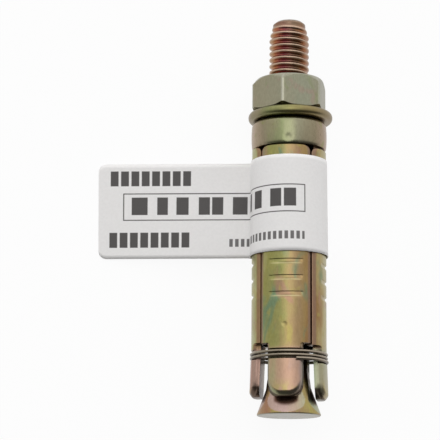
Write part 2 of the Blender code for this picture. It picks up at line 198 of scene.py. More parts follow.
def turned(outline, sides, closed=False):
    """A full turn of an outline of (radius, height) points about the axis."""
    bm = bmesh.new()
    verts = [bm.verts.new((radius, 0, height)) for radius, height in outline]
    edges = [bm.edges.new(pair) for pair in zip(verts, verts[1:])]
    if closed:
        edges.append(bm.edges.new((verts[-1], verts[0])))
    bmesh.ops.spin(
        bm, geom=verts + edges, cent=(0, 0, 0), axis=(0, 0, 1), angle=math.tau, steps=sides, use_merge=True
    )
    bmesh.ops.remove_doubles(bm, verts=bm.verts, dist=0.0001)
    return bm


def drawn_out(sections):
    """A closed bar pulled through sections with the same number of points, by extruding its end loop."""
    bm = bmesh.new()
    ring = bmesh.ops.create_circle(bm, cap_ends=True, segments=len(sections[0]), radius=1)["verts"]
    edges = list(bm.edges)
    for vert, point in zip(ring, sections[0]):
        vert.co = point
    for points in sections[1:]:
        grown = bmesh.ops.extrude_edge_only(bm, edges=edges)["geom"]
        fresh = {item for item in grown if isinstance(item, bmesh.types.BMVert)}
        ring = [next(e.other_vert(v) for e in v.link_edges if e.other_vert(v) in fresh) for v in ring]
        edges = [e for e in grown if isinstance(e, bmesh.types.BMEdge) and set(e.verts) <= fresh]
        for vert, point in zip(ring, points):
            vert.co = point
    bmesh.ops.edgeloop_fill(bm, edges=edges)
    return bm


def corner(centre_radius, centre_height, radius, start, steps):
    """Points of a quarter circle, turning anticlockwise from the start angle in degrees."""
    return [
        (
            centre_radius + radius * math.cos(math.radians(start + 90 * step / steps)),
            centre_height + radius * math.sin(math.radians(start + 90 * step / steps)),
        )
        for step in range(steps + 1)
    ]


def spaced(low, high, step):
    count = max(1, round((high - low) / step))
    return [low + (high - low) * index / count for index in range(count + 1)]


# Bolt: threaded stud, shank and cone with four scoops


def thread_crest(height, angle):
    """0 in the thread's root and 1 on its crest."""
    return abs(2 * ((height / thread_pitch + angle / math.tau + thread_start) % 1.0) - 1)


def thread_radius(height, angle):
    below_end = bolt_length - height
    low = root_radius - 0.2 * smooth_step(3.0, 1.2, below_end)
    high = min(crest_radius, root_radius + (below_end - runout_length) * runout_slope)
    ridge = smooth_step(0.1, 0.9, thread_crest(height, angle))
    return min(low + max(0.0, high - low) * ridge, stud_end_radius + below_end * stud_end_slope)


def scoop_depth(height, angle):
    """How far the cone is scooped away at an angle from the scoop's middle."""
    half_angle = ramp_half_angle - ramp_narrowing * max(0.0, height - ramp_foot - ramp_foot_rise)
    across = min(1.0, abs(angle) / half_angle)
    foot = ramp_foot + ramp_foot_rise * (1 - math.sqrt(1 - across**2))
    floor = (ramp_slope - cone_slope) * (height - foot)
    side = (half_angle - abs(angle)) * (cone_radius - cone_slope * height) * ramp_side_slope
    return max(0.0, min(floor, side))


def from_scoop(angle):
    return (angle - front_heading + math.pi / 4) % (math.pi / 2) - math.pi / 4


def make_bolt():
    cone_top = (cone_radius - shank_radius) / cone_slope
    outline = [(radius, 0) for radius in (0, 2.5, 5.0, 5.5)]
    edge_middle = cone_radius - cone_edge_inset
    for angle in (0.0, 0.5, 1.0, 1.5):
        outline.append((edge_middle + cone_edge * math.sin(angle), cone_edge - cone_edge * math.cos(angle)))
    for height in spaced(cone_edge_inset, 4.0, 0.09) + spaced(4.2, cone_top, 0.3):
        outline.append((cone_radius - cone_slope * height, height))
    outline += [(shank_radius, z) for z in spaced(cone_top + 0.5, thread_low - 1, 6.0)]
    outline += [(crest_radius, z) for z in spaced(thread_low, bolt_length, thread_pitch / 12)]
    outline += [(stud_end_face_radius, bolt_length), (0, bolt_length)]
    bm = turned(outline, 192)
    scoop, shade, crest = [bm.verts.layers.float.new(name) for name in ("scoop", "shade", "crest")]
    for vert in bm.verts:
        angle = math.atan2(vert.co.y, vert.co.x)
        scooped = 0.05 < vert.co.z < cone_top and scoop_depth(vert.co.z, from_scoop(angle)) > 0.0
        aside = abs(math.hypot(vert.co.x, vert.co.y) * math.sin(from_scoop(angle)))
        vert[scoop] = float(scooped)
        # Painted shadow and reflection of each finger's end on the scoop below it.
        under_finger = smooth_step(1.3, 2.0, vert.co.z - 0.12 * aside**2) * smooth_step(2.6, 2.0, aside)
        vert[shade] = scooped * under_finger
        vert[crest] = smooth_step(0.5, 0.9, thread_crest(vert.co.z, angle)) * float(vert.co.z > thread_low)
    for vert in bm.verts:
        height = vert.co.z
        radius = math.hypot(vert.co.x, vert.co.y)
        if radius < 0.01:
            continue
        angle = math.atan2(vert.co.y, vert.co.x)
        wanted = radius
        if height >= thread_low - 0.01 and radius > 2:
            wanted = thread_radius(height, angle)
        elif 0.05 < height < cone_top:
            wanted = max(radius - scoop_depth(height, from_scoop(angle)), shank_radius)
        vert.co.x *= wanted / radius
        vert.co.y *= wanted / radius
    return piece("bolt", bm, "cone_bolt", "cone_bolt", sharp=50)


def corner_highlight_share(co):
    """1 on the nut's corners and its upper face, where a highlight is painted."""
    wear_and_highlight = smooth_step(nut_corner_radius - 0.08, nut_corner_radius - 0.01, math.hypot(co.x, co.y))
    return max(wear_and_highlight, float(co.z > nut_high - 0.05))


def make_nut():
    low, high = nut_low, nut_high
    mouth_radius, side_radius = nut_bore_radius + nut_countersink, 7.2
    outline = [(nut_bore_radius, low + nut_countersink), (mouth_radius, low), (nut_foot_radius - 0.2, low)]
    outline += [(side_radius, height) for height in (low + 0.5, low + 1.2, high - 2.0, high - 0.5)]
    outline += [(nut_crown_radius, high), (mouth_radius, high), (nut_bore_radius, high - nut_countersink)]
    bm = turned(outline, 192, closed=True)
    for vert in bm.verts:
        radius = math.hypot(vert.co.x, vert.co.y)
        if radius < side_radius - 0.2:
            continue
        angle = math.atan2(vert.co.y, vert.co.x)
        from_flat = (angle - nut_clock + math.pi / 2) % math.radians(60) - math.radians(30)
        wanted = min(nut_half_flats / math.cos(from_flat), nut_corner_radius)
        vert.co.x *= wanted / radius
        vert.co.y *= wanted / radius
        if abs(vert.co.z - (low + 0.5)) < 0.01:
            vert.co.z = low + max(0.08, (wanted - nut_foot_radius) * nut_foot_slope)
        elif abs(vert.co.z - (high - 0.5)) < 0.01:
            vert.co.z = high - (wanted - nut_crown_radius) * nut_crown_slope
    mark(bm, "corner", corner_highlight_share)
    return piece("hex_nut", bm, "nut", "nut", sharp=24)


def make_washer():
    inner = washer_radius - washer_edge
    outline = [(washer_bore_radius, washer_high), (washer_bore_radius, washer_low)]
    outline += corner(inner, washer_low + washer_edge, washer_edge, -90, 6)
    outline += corner(inner, washer_high - washer_edge, washer_edge, 0, 6)
    bm = turned(outline, 128, closed=True)
    bmesh.ops.translate(bm, verts=bm.verts, vec=(washer_aside, 0, 0))
    return piece("plain_washer", bm, "ferrule_set", "washer")


def make_ferrule():
    outer, bore, lip, hole = ferrule_radius, ferrule_bore_radius, ferrule_lip_radius, ferrule_hole_radius
    side_low, side_high = ferrule_low + 0.7, ferrule_top - 0.9
    outline = [
        (lip, side_low - 0.2), (lip, ferrule_low + 0.1), (lip + 0.1, ferrule_low),
        (outer - 0.42, ferrule_low), (outer - 0.25, ferrule_low + 0.08), (outer - 0.14, ferrule_low + 0.28),
        (outer - 0.08, side_low),
    ]
    for share in spaced(0.1, 0.9, 0.1):
        outline.append((outer - 0.08 * (2 * share - 1) ** 2, side_low + (side_high - side_low) * share))
    outline += corner(outer - 0.98, side_high, 0.9, 0, 8)
    roof_under = ferrule_top - ferrule_roof
    outline += [(hole, ferrule_top), (hole, roof_under), (lip + 0.1, roof_under)]
    outline += [(bore, side_high), (bore, side_low)]
    bm = turned(outline, 144, closed=True)
    dent = Vector((-0.4, -outer, dent_height))
    for vert in bm.verts:
        away = (vert.co - dent).length
        if away < dent_radius:
            vert.co.y += dent_depth * (1 - smooth_step(0.0, dent_radius, away))
    return piece("ferrule_collar", bm, "ferrule_set", "ferrule")


# Shield segments


def groove_at(height, angle):
    """Depth of the grip grooves and the punch mark at this place on a segment."""
    depth = 0.0
    end = math.sqrt(max(0.0, 1 - ((angle - groove_clock) / groove_half_angle) ** 2))
    for middle in groove_heights:
        away = height - middle
        upper, lower = (0.42 - away) / 0.1, (away + 0.62) / 0.5
        depth = max(depth, groove_depth * end * min(1.0, upper, lower))
    from_mark = math.hypot(height - dimple_height, angle * shield_radius)
    return max(depth, 0.08 * smooth_step(0.6, 0.1, from_mark))


def outline_across(height, outside, edge, reach_at, inner_points, fall_at=None):
    """Section of a segment from one inner corner round the outside to the other, with bevelled sides."""
    crown_steps, side_steps = 44, 2
    width, drop = edge
    crown = reach_at(outside - drop) - width / outside
    points = []
    for step in range(crown_steps + 1):
        angle = crown * (2 * step / crown_steps - 1)
        points.append((angle, outside - groove_at(height, angle)))
    rounded = []
    for share in (0.06, 0.15, 0.4, 0.65, 0.85, 0.95, 1.0):
        fall = share**1.3 + 0.12 * smooth_step(0.85, 1.0, share)
        rounded.append((crown + width / outside * min(share, 0.97), outside - drop * fall))
    if fall_at:
        points = [(angle, outside - fall_at(angle)) for angle, radius in points]
        rounded = [(angle, outside - fall_at(angle)) for angle, radius in rounded]
    last = rounded[-1][1]
    inner_radius = Vector(inner_points[0]).length
    for step in range(1, side_steps + 1):
        radius = last + (inner_radius - last) * step / (side_steps + 1)
        rounded.append((reach_at(radius), radius))
    polar = [(-angle, radius) for angle, radius in reversed(rounded)] + points + rounded
    flat = [(radius * math.cos(angle), radius * math.sin(angle)) for angle, radius in polar]
    return [Vector((u, t, height)) for u, t in flat + inner_points]


def body_outline(height, outside=shield_radius, draw_in=0.0, edge=shield_edge):
    inside = shield_radius - shield_wall
    steps = 8

    def reach_at(radius):
        return math.pi / 4 - math.asin(shield_slit / 2 / radius) - draw_in / radius

    reach = reach_at(inside)
    angles = [reach * (1 - 2 * step / steps) for step in range(steps + 1)]
    inner = [(inside * math.cos(angle), inside * math.sin(angle)) for angle in angles]
    return outline_across(height, outside, edge, reach_at, inner)


def finger_outline(height, outside, half_width, edge=finger_edge, fall_at=None):
    share = (height - tip_height) / (shoulder_height - tip_height)
    inside = tip_inside + (shield_radius - shield_wall - tip_inside) * share
    steps = 8
    inner = [(inside, half_width * (1 - 2 * step / steps)) for step in range(steps + 1)]

    def reach_at(radius):
        return math.asin(half_width / radius)

    return outline_across(height, outside, edge, reach_at, inner, fall_at)


def finger_outside(height):
    share = (height - tip_height) / (shoulder_height - tip_height)
    return tip_outside + (shield_radius - tip_outside) * share


def grooved_finger(height, share):
    depth = ring_groove_depth * share
    edge = (finger_edge[0], finger_edge[1] - depth)
    return finger_outline(height, finger_outside(height) - depth, finger_half_width, edge)


def tip_fall(above, angle, outside):
    """How far the finger's face has fallen away near its rounded end."""
    width, drop = finger_edge
    to_side = (math.asin(finger_half_width / (outside - drop)) - abs(angle)) * outside
    from_side, from_end = 1 - to_side / tip_round, 1 - above / tip_round
    if from_side > 0 and from_end > 0:
        inwards = tip_round * (1 - math.hypot(from_side, from_end))
    else:
        inwards = min(above, to_side)
    share = min(1.3, max(0.0, 1 - inwards / width) / 0.97)
    return drop * (share**1.3 + 0.12 * smooth_step(0.85, 1.0, share))


def segment_sections(groove_extra):
    sections = []
    for above in [0.0, 0.03, 0.07, 0.13, 0.2, 0.3] + spaced(0.4, 3.4, 0.125):
        height = tip_height + above
        widened = quarter_round(above / tip_corner_height)
        half_width = tip_half_width + (finger_half_width - tip_half_width) * widened
        outside = finger_outside(height)
        fall_at = partial(tip_fall, above, outside=outside)
        sections.append(finger_outline(height, outside, half_width, fall_at=fall_at))
    low, high = ring_height - ring_groove_below - groove_extra, ring_height + ring_groove_above
    for height in spaced(6.9, low - 0.3, 0.6):
        sections.append(finger_outline(height, finger_outside(height), finger_half_width))
    for from_wall, share in ((-0.05, 0), (0.0, 0.1), (0.12, 0.9), (0.25, 1)):
        sections.append(grooved_finger(low + from_wall, share))
    for from_wall, share in ((0.25, 1), (0.12, 0.9), (0.0, 0.1), (-0.05, 0)):
        sections.append(grooved_finger(high - from_wall, share))
    for below in (0.45, 0.3, 0.15, 0.05, 0.0):
        height = shoulder_height - below
        half_width = finger_half_width + 0.5 * (1 - quarter_round(below / 0.5))
        sections.append(finger_outline(height, finger_outside(height), half_width))
    sections += [body_outline(shoulder_height + above) for above in (0.02, 0.2)]
    rows = set(spaced(shoulder_height + 0.6, shield_top - 1.6, 0.9))
    rows |= set(spaced(dimple_height - 0.6, dimple_height + 0.6, 0.12))
    groove_rows = (-0.62, -0.54, -0.46, -0.38, -0.3, -0.2, 0.0, 0.2, 0.32, 0.37, 0.42, 0.5)
    for middle in groove_heights:
        rows |= {middle + offset for offset in groove_rows}
    sections += [body_outline(height) for height in sorted(rows)]
    for share in (1.0, 0.75, 0.5, 0.35, 0.2, 0.1, 0.04, 0.0):
        draw_in = shield_top_corner * (1 - quarter_round(share))
        outside = shield_radius - 0.12 * (1 - min(1, share / 0.1))
        sections.append(body_outline(shield_top - share * shield_top_corner, outside, draw_in))
    neck = [(shield_top, neck_radius), (head_low, neck_radius)]
    for height, outside in neck + [(head_low, head_radius), (head_top, head_radius)]:
        sections.append(body_outline(height, outside, shield_top_corner, (0.2, 0.2)))
    return sections


def edge_share(co):
    """1 on the bevels and sides of a segment, 0 on its round face."""
    outside = shield_radius if co.z > shoulder_height + 0.3 else finger_outside(co.z)
    radius = math.hypot(co.x, co.y)
    angle = math.atan2(co.y, co.x)
    return max(smooth_step(0.02, 0.1, outside - radius - groove_at(co.z, angle)), 0.0)


def lip_highlight_share(co):
    """1 along the lower lip of each grip groove, where a highlight is painted."""
    angle = (math.atan2(co.y, co.x) - groove_clock) / groove_half_angle
    if abs(angle) > 1 or math.hypot(co.x, co.y) < shield_radius - 0.8:
        return 0.0
    away = min(abs(co.z - middle + 0.46) for middle in groove_heights)
    return smooth_step(0.14, 0.05, away) * (1 - angle**4)


def tip_shade_share(co, fall=0.45):
    """1 on the sides and the end of a finger's tip, where shade is painted."""
    below = smooth_step(tip_height + 2.1, tip_height + 1.8, co.z)
    return below * smooth_step(fall, fall + 0.12, finger_outside(co.z) - math.hypot(co.x, co.y))


def inner_shade_share(co):
    """1 on the inner faces above the ring, where shade is painted dark."""
    return float(co.z > ring_height - 0.5 and math.hypot(co.x, co.y) < shield_radius - 1.9)


def make_segments():
    made = []
    for index, (name, slip) in enumerate(zip(segment_names, segment_slips)):
        bm = drawn_out(segment_sections(0.3 if name == "right" else 0.0))
        mark(bm, "edge", edge_share)
        mark(bm, "lip", lip_highlight_share)
        mark(bm, "tip", partial(tip_shade_share, fall=0.12) if name == "left" else tip_shade_share)
        mark(bm, "inside", inner_shade_share)
        turn = Matrix.Rotation(front_heading + index * math.pi / 2, 4, "Z")
        bmesh.ops.transform(bm, matrix=Matrix.Translation((0, 0, slip)) @ turn, verts=bm.verts)
        body = "segment_" + name
        made.append(piece(body, bm, body, "shield_" + body, sharp=40))
    return made


# Wire ring: eight pieces, each from the middle of a finger to the gap beside it


def make_ring():
    made = []
    for index in range(8):
        finger = index // 2
        middle = front_heading + finger * math.pi / 2
        gap = middle + (math.pi / 4 if index % 2 else -math.pi / 4)
        bm = bmesh.new()
        for first, last in wire_spans(*sorted((middle, gap))):
            tube = wire_tube(first, last)
            mesh = bpy.data.meshes.new("tube")
            tube.to_mesh(mesh)
            bm.from_mesh(mesh)
            tube.free()
            bpy.data.meshes.remove(mesh)
        bmesh.ops.recalc_face_normals(bm, faces=bm.faces)
        bm.normal_update()
        shaded_side = bm.verts.layers.float.new("shaded_side")
        for vert in bm.verts:
            # Painted shade on the wire's faces turned towards the cone's end.
            vert[shaded_side] = smooth_step(-0.1, -0.6, vert.normal.z)
        thing = piece("wire_ring_%d" % (index + 1), bm, None, sharp=60)
        at_finger = Vector((math.cos(middle), math.sin(middle), 0)) * shield_radius
        at_gap = Vector((math.cos(gap), math.sin(gap), 0)) * shield_radius
        lift = Vector((0, 0, ring_height))
        near, far = laid_mm @ (at_finger.lerp(at_gap, 0.45) + lift), laid_mm @ (at_gap + lift)
        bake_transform(thing)
        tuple(near)
        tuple(far)
        if index == 0:
            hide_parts("retaining_ring")
        made.append(thing)
    return made


gap_heading = front_heading + math.tau * 3 / 8
wire_first = gap_heading - wire_step / 2
wire_last = wire_end_clock - math.pi / 2 - wire_turns * math.tau


def wire_spans(low, high):
    """The stretches of wire between two headings, as angles along the winding, which runs backwards."""
    spans = []
    for turn in range(-wire_turns - 1, 2):
        first, last = max(low + turn * math.tau, wire_last), min(high + turn * math.tau, wire_first)
        if last - first > 0.01:
            spans.append((first, last))
    return spans


def wire_centre(angle):
    """The wire lies flat in the groove, steps down between two fingers and ends outside the groove."""
    past_gap = [(gap_heading - angle - turn * math.tau) / wire_step for turn in (1, 2)]
    steps = [smooth_step(-0.5, 0.5, share) for share in past_gap]
    in_groove = finger_outside(ring_height) - ring_groove_depth + wire_gap + wire_radius
    on_finger = finger_outside(ring_height - 1.1) + wire_gap + wire_radius
    raised = smooth_step(math.radians(-20), math.radians(-62), angle + wire_turns * math.tau)
    radius = in_groove + (on_finger - in_groove) * raised * steps[1] + 0.12 * steps[1] * (1 - raised)
    height = ring_height + wire_lead / 2 - wire_lead * steps[0] - wire_end_lead * steps[1]
    return Vector((math.cos(angle), math.sin(angle), 0)), radius, height


def wire_tube(first, last):
    sections = []
    count = max(2, round((last - first) / math.radians(4)))
    for step in range(count + 1):
        out, radius, height = wire_centre(first + (last - first) * step / count)
        around = [math.tau * side / 12 for side in range(12)]
        sections.append([
            out * (radius + wire_radius * math.cos(a)) + Vector((0, 0, height + wire_radius * math.sin(a)))
            for a in around
        ])
    return drawn_out(sections)


# Paper label: one strip round the shield, its two ends stuck together as a flag


def loop_radius(height):
    return label_loop_radius + (label_high - height) * label_loop_flare


def label_path(height):
    """The strip's middle line at one height, from the flag's far end round the shield and back."""
    radius = loop_radius(height) + 0.06
    set_back, layer = 1.35, 0.07
    root_angle = math.pi - math.asin(set_back / radius)
    fillet = math.radians(4.0)
    first, last = root_angle + fillet, root_angle + math.tau - fillet
    root = radius * math.cos(first)
    reach = flag_reach - (label_high - height) * flag_end_slant
    flag = [(root - 0.35 + reach) * share - reach for share in spaced(0.0, 1.0, 1 / 40)]
    flag = flag[:1] + [more - reach for more in (0.05, 0.15, 0.3, 0.5, 0.75, 1.05)] + flag[2:]
    points = [Vector((x, set_back - layer)) for x in flag]
    for step in range(151):
        angle = first + (last - first) * step / 150
        points.append(Vector((radius * math.cos(angle), radius * math.sin(angle))))
    return points + [Vector((x, set_back + layer)) for x in reversed(flag)]


def make_label():
    rows = 24
    path = label_path(label_low)
    lengths = [0.0]
    for first, second in zip(path, path[1:]):
        lengths.append(lengths[-1] + (second - first).length)
    bm = bmesh.new()
    columns = len(path)
    bmesh.ops.create_grid(bm, x_segments=columns - 1, y_segments=rows, size=0.5)
    strip = bm.loops.layers.uv.new("strip")
    paths = {}
    for vert in bm.verts:
        column = round((vert.co.x + 0.5) * (columns - 1))
        share = round((vert.co.y + 0.5) * rows) / rows
        from_end = path[column].x - path[0].x
        into_corner = max(0.0, label_corner - from_end)
        trim = label_corner - math.sqrt(label_corner**2 - into_corner**2)
        height = label_low + trim + (label_high - label_low - 2 * trim) * share
        if height not in paths:
            paths[height] = label_path(height)
        for loop in vert.link_loops:
            loop[strip].uv = (lengths[column] / 100, (height - label_low) / 100)
        droop = flag_droop * max(0.0, -shield_radius - paths[height][column].x)
        vert.co = (*paths[height][column], height - droop)
    thing = piece("paper_label", bm, "ferrule_set", "label", sharp=60)
    wall = thing.modifiers.new("paper", "SOLIDIFY")
    wall.thickness = paper_thickness / 1000
    wall.offset = 0
    return thing


# Materials


class Value:
    """A socket that can be used in plain arithmetic."""

    def __init__(self, paint, socket):
        self.paint = paint
        self.socket = socket

    def maths(self, operation, *others):
        return self.paint.node("ShaderNodeMath", {"operation": operation}, (self, *others))

    def __add__(self, other):
        return self.maths("ADD", other)

    def __sub__(self, other):
        return self.maths("SUBTRACT", other)

    def __mul__(self, other):
        return self.maths("MULTIPLY", other)

    def __truediv__(self, other):
        return self.maths("DIVIDE", other)

    def most(self, other):
        return self.maths("MAXIMUM", other)

    def ramp(self, low, high):
        """0 at low and 1 at high, smooth between them."""
        values = {"Value": self, "From Min": low, "From Max": high}
        return self.paint.node("ShaderNodeMapRange", {"interpolation_type": "SMOOTHSTEP"}, values)


class Paint:
    """One material and the nodes in it."""

    def __init__(self, name, metallic=1.0):
        self.material = bpy.data.materials.new(name)
        self.material.use_nodes = True
        self.tree = self.material.node_tree
        self.shader = self.tree.nodes["Principled BSDF"]
        self.shader.inputs["Metallic"].default_value = metallic

    def node(self, kind, settings=None, values=None, out=0):
        made = self.tree.nodes.new(kind)
        for key, value in (settings or {}).items():
            if key == "stops":
                stops = made.color_ramp.elements
                for index, (place, colour) in enumerate(value):
                    stop = stops[index] if index < 2 else stops.new(place)
                    stop.position = place
                    stop.color = (*colour, 1.0)
            else:
                setattr(made, key, value)
        pairs = values.items() if isinstance(values, dict) else enumerate(values or ())
        for key, value in pairs:
            if value is None:
                continue
            if isinstance(value, Value):
                self.tree.links.new(value.socket, made.inputs[key])
            else:
                made.inputs[key].default_value = value
        return Value(self, made.outputs[out])

    def place(self):
        return self.node("ShaderNodeTexCoord", out="Object")

    def measured(self, way):
        """Millimetres from the middle of the cone's end, along one of the anchor's own directions."""
        values = {0: self.place(), 1: way}
        along = self.node("ShaderNodeVectorMath", {"operation": "DOT_PRODUCT"}, values, "Value")
        return (along - cone_end.dot(way)) * 1000

    def marked(self, name):
        return self.node("ShaderNodeAttribute", {"attribute_name": name}, out="Fac")

    def grain(self, size_mm, stretch=(1, 1, 1), detail=3.0, seed=0.0, rough=0.5, warp=0.0):
        """Noise from about 0 to 1 in spots of this size; stretch's second number is along the anchor."""
        values = {"Vector": self.place(), "Scale": [1 / share for share in stretch]}
        values["Location"] = (seed, seed * 0.7, seed * 1.3)
        where = self.node("ShaderNodeMapping", None, values)
        values = {"Vector": where, "Scale": 1000 / size_mm, "Detail": detail, "Roughness": rough}
        values["Distortion"] = warp
        return self.node("ShaderNodeTexNoise", {"normalize": True}, values)

    def colours(self, factor, *stops):
        return self.node("ShaderNodeValToRGB", {"stops": stops}, (factor,))

    def mix(self, factor, first, second, blend="MIX"):
        made = self.tree.nodes.new("ShaderNodeMix")
        made.data_type = "RGBA"
        made.blend_type = blend
        for slot, value in ((0, factor), (6, first), (7, second)):
            if isinstance(value, Value):
                self.tree.links.new(value.socket, made.inputs[slot])
            else:
                made.inputs[slot].default_value = value if slot == 0 else (*value, 1.0)
        return Value(self, made.outputs[2])

    def finish(self, colour, roughness, bump=None, depth_mm=0.01, strength=1.0):
        self.tree.links.new(colour.socket, self.shader.inputs["Base Color"])
        if isinstance(roughness, Value):
            self.tree.links.new(roughness.socket, self.shader.inputs["Roughness"])
        else:
            self.shader.inputs["Roughness"].default_value = roughness
        if bump:
            values = {"Strength": strength, "Distance": depth_mm * 0.001, "Height": bump}
            normal = self.node("ShaderNodeBump", None, values)
            self.tree.links.new(normal.socket, self.shader.inputs["Normal"])
        return self.material


class Zinc(Paint):
    """Passivated zinc: a thin film whose colour drifts, over steel with a fine drawn grain."""

    def __init__(self, name, seed, rough=0.33):
        super().__init__(name)
        self.seed = seed
        self.across = self.measured(right_way)
        self.height = self.measured(stud_way)
        self.patches = self.grain(3.4, (1, 2.0, 1), 3, seed, warp=0.6)
        self.streaks = self.grain(1.0, (1, 14, 1), 3, seed + 3)
        self.fine = self.grain(0.3, (1, 2.5, 1), 4, seed + 5, 0.6)
        self.rough = rough

    def film(self, tints, reach=7.4, wander=2.6):
        """Tints from left to right, with a border that wanders by so many millimetres."""
        place = self.across + (self.patches - 0.5) * (2 * wander) + (self.streaks - 0.5) * wander
        stops = [(index / (len(tints) - 1), tint) for index, tint in enumerate(tints)]
        return self.colours(place / (2 * reach) + 0.5, *stops)

    def spots(self, colour, tint, size_mm, seed, low=0.56, high=0.7, share=0.8):
        """Patches of another tint."""
        where = self.grain(size_mm, (1, 1.8, 1), 2, self.seed + seed, warp=0.8)
        return self.mix(where.ramp(low, high) * share, colour, tint)

    def done(self, colour):
        wear_and_highlight = self.colours(self.fine, (0.2, (0.52, 0.51, 0.47)), (0.8, (0.7, 0.7, 0.66)))
        colour = self.mix(1.0, colour, wear_and_highlight, "MULTIPLY")
        roughness = (self.fine - 0.5) * 0.16 + (self.patches - 0.5) * 0.12 + self.rough
        return self.finish(colour, roughness, self.fine + self.streaks * 0.6, 0.006, 0.4)


def shield_paint():
    """The segments: olive on the left, tan and pink in the middle, reddish brown on the right."""
    paint = Zinc("segment_zinc", 23.0, 0.34)
    tints = [
        (0.64, 0.64, 0.36), (0.54, 0.5, 0.24), (0.44, 0.42, 0.15), (0.44, 0.43, 0.17), (0.52, 0.39, 0.19),
        (0.52, 0.36, 0.2), (0.5, 0.34, 0.15), (0.44, 0.26, 0.12), (0.6, 0.48, 0.23), (0.66, 0.6, 0.38),
    ]
    colour = paint.film(tints)
    colour = paint.spots(colour, (0.22, 0.36, 0.24), 4.5, 1.0, 0.56, 0.7, 0.8)
    colour = paint.spots(colour, (0.56, 0.3, 0.25), 3.6, 4.0, 0.58, 0.7, 0.6)
    colour = paint.spots(colour, (0.58, 0.5, 0.16), 3.0, 9.0, 0.57, 0.7, 0.6)
    on_finger = paint.height.ramp(shoulder_height - 0.4, shoulder_height - 1.4)
    pinkish = paint.film([
        (0.6, 0.36, 0.3), (0.56, 0.5, 0.3), (0.68, 0.47, 0.33), (0.66, 0.42, 0.32), (0.56, 0.42, 0.4),
        (0.46, 0.5, 0.32), (0.62, 0.54, 0.4),
    ])
    yellowed = paint.height.ramp(6.6, 4.6) * paint.grain(2.0, (1, 1.4, 1), 2, 31).ramp(0.4, 0.6)
    pinkish = paint.mix(yellowed * 0.7, pinkish, (0.64, 0.53, 0.22))
    colour = paint.mix(on_finger, colour, pinkish)
    place = paint.across / 14 + 0.5
    sides = paint.colours(
        place, (0.2, (0.42, 0.24, 0.15)), (0.45, (0.44, 0.42, 0.24)), (0.75, (0.38, 0.24, 0.18))
    )
    finger_sides = paint.colours(
        place, (0.0, (0.58, 0.42, 0.36)), (0.12, (0.56, 0.34, 0.31)), (0.2, (0.4, 0.36, 0.27)),
        (0.28, (0.44, 0.47, 0.3)), (0.48, (0.47, 0.43, 0.31)), (0.62, (0.46, 0.37, 0.35)),
        (0.8, (0.38, 0.46, 0.33)), (0.95, (0.62, 0.52, 0.37)),
    )
    sides = paint.mix(on_finger, sides, finger_sides)
    colour = paint.mix(paint.marked("edge") * 0.85, colour, sides)
    # Painted highlight along the lower lip of each grip groove.
    colour = paint.mix(paint.marked("lip") * 0.7, colour, (0.8, 0.72, 0.42))
    # Painted shade on the sides and the end of each finger's tip.
    colour = paint.mix(paint.marked("tip") * 0.85, colour, (0.12, 0.08, 0.06))
    # Painted shade on the inner faces above the ring.
    colour = paint.mix(paint.marked("inside"), colour, (0.06, 0.04, 0.03))
    return paint.done(colour)


def bolt_paint():
    """The bolt: brown and purple on the cone, maroon flanks with crests painted pale as a highlight on the
    thread, pink scoops.
    """
    paint = Zinc("bolt_zinc", 1.0, 0.33)
    cone = [
        (0.62, 0.46, 0.22), (0.52, 0.28, 0.18), (0.6, 0.5, 0.18), (0.4, 0.22, 0.2), (0.56, 0.48, 0.17),
        (0.5, 0.28, 0.18),
    ]
    colour = paint.film(cone, 6.2)
    colour = paint.spots(colour, (0.5, 0.42, 0.16), 2.4, 2.0, 0.56, 0.68, 0.6)
    band = [(0.64, 0.46, 0.41), (0.66, 0.47, 0.45), (0.62, 0.48, 0.38), (0.56, 0.58, 0.4)]
    colour = paint.mix(paint.marked("scoop"), colour, paint.film(band, 3.4, 1.0))
    # Painted shadow and reflection under each finger tip.
    colour = paint.mix(paint.marked("shade") * 0.9, colour, (0.16, 0.07, 0.045))
    flank = [
        (0.6, 0.34, 0.14), (0.56, 0.2, 0.09), (0.4, 0.1, 0.12), (0.3, 0.15, 0.12), (0.26, 0.15, 0.09),
        (0.5, 0.2, 0.09), (0.6, 0.36, 0.26),
    ]
    # Painted highlight: the thread's crests are painted pale over the maroon flanks.
    thread = paint.mix(paint.marked("crest"), paint.film(flank, 3.8, 1.0), (0.74, 0.54, 0.42))
    stud_end = paint.height.ramp(bolt_length - 1.5, bolt_length - 1.1)
    thread = paint.mix(stud_end * 0.7, thread, (0.34, 0.24, 0.17))
    # Painted shade: the shank inside the shield is darkened from 9 mm up.
    colour = paint.mix(paint.height.ramp(9.0, 11.0), colour, (0.12, 0.08, 0.05))
    colour = paint.mix(paint.height.ramp(thread_low, thread_low + 1), colour, thread)
    pale = paint.spots((0.46, 0.44, 0.39), (0.5, 0.41, 0.33), 2.5, 6.0)
    colour = paint.mix(paint.height.ramp(0.25, 0.05), colour, pale)
    return paint.done(colour)


def nut_paint():
    paint = Zinc("nut_zinc", 7.0, 0.36)
    colour = paint.film([(0.46, 0.42, 0.31), (0.45, 0.43, 0.32), (0.43, 0.44, 0.34), (0.46, 0.43, 0.33)])
    colour = paint.spots(colour, (0.5, 0.38, 0.32), 2.6, 1.0, 0.55, 0.7, 0.6)
    colour = paint.spots(colour, (0.38, 0.42, 0.24), 2.2, 5.0, 0.57, 0.7, 0.6)
    # Painted highlight: the nut's corners and upper face are painted pale.
    colour = paint.mix(paint.marked("corner") * 0.8, colour, (0.66, 0.65, 0.56))
    return paint.done(colour)


def washer_paint():
    paint = Zinc("washer_zinc", 13.0, 0.36)
    tints = [
        (0.44, 0.35, 0.26), (0.34, 0.36, 0.17), (0.4, 0.37, 0.16), (0.38, 0.3, 0.15), (0.44, 0.35, 0.24),
    ]
    colour = paint.film(tints, 8.0, 2.0)
    return paint.done(colour)


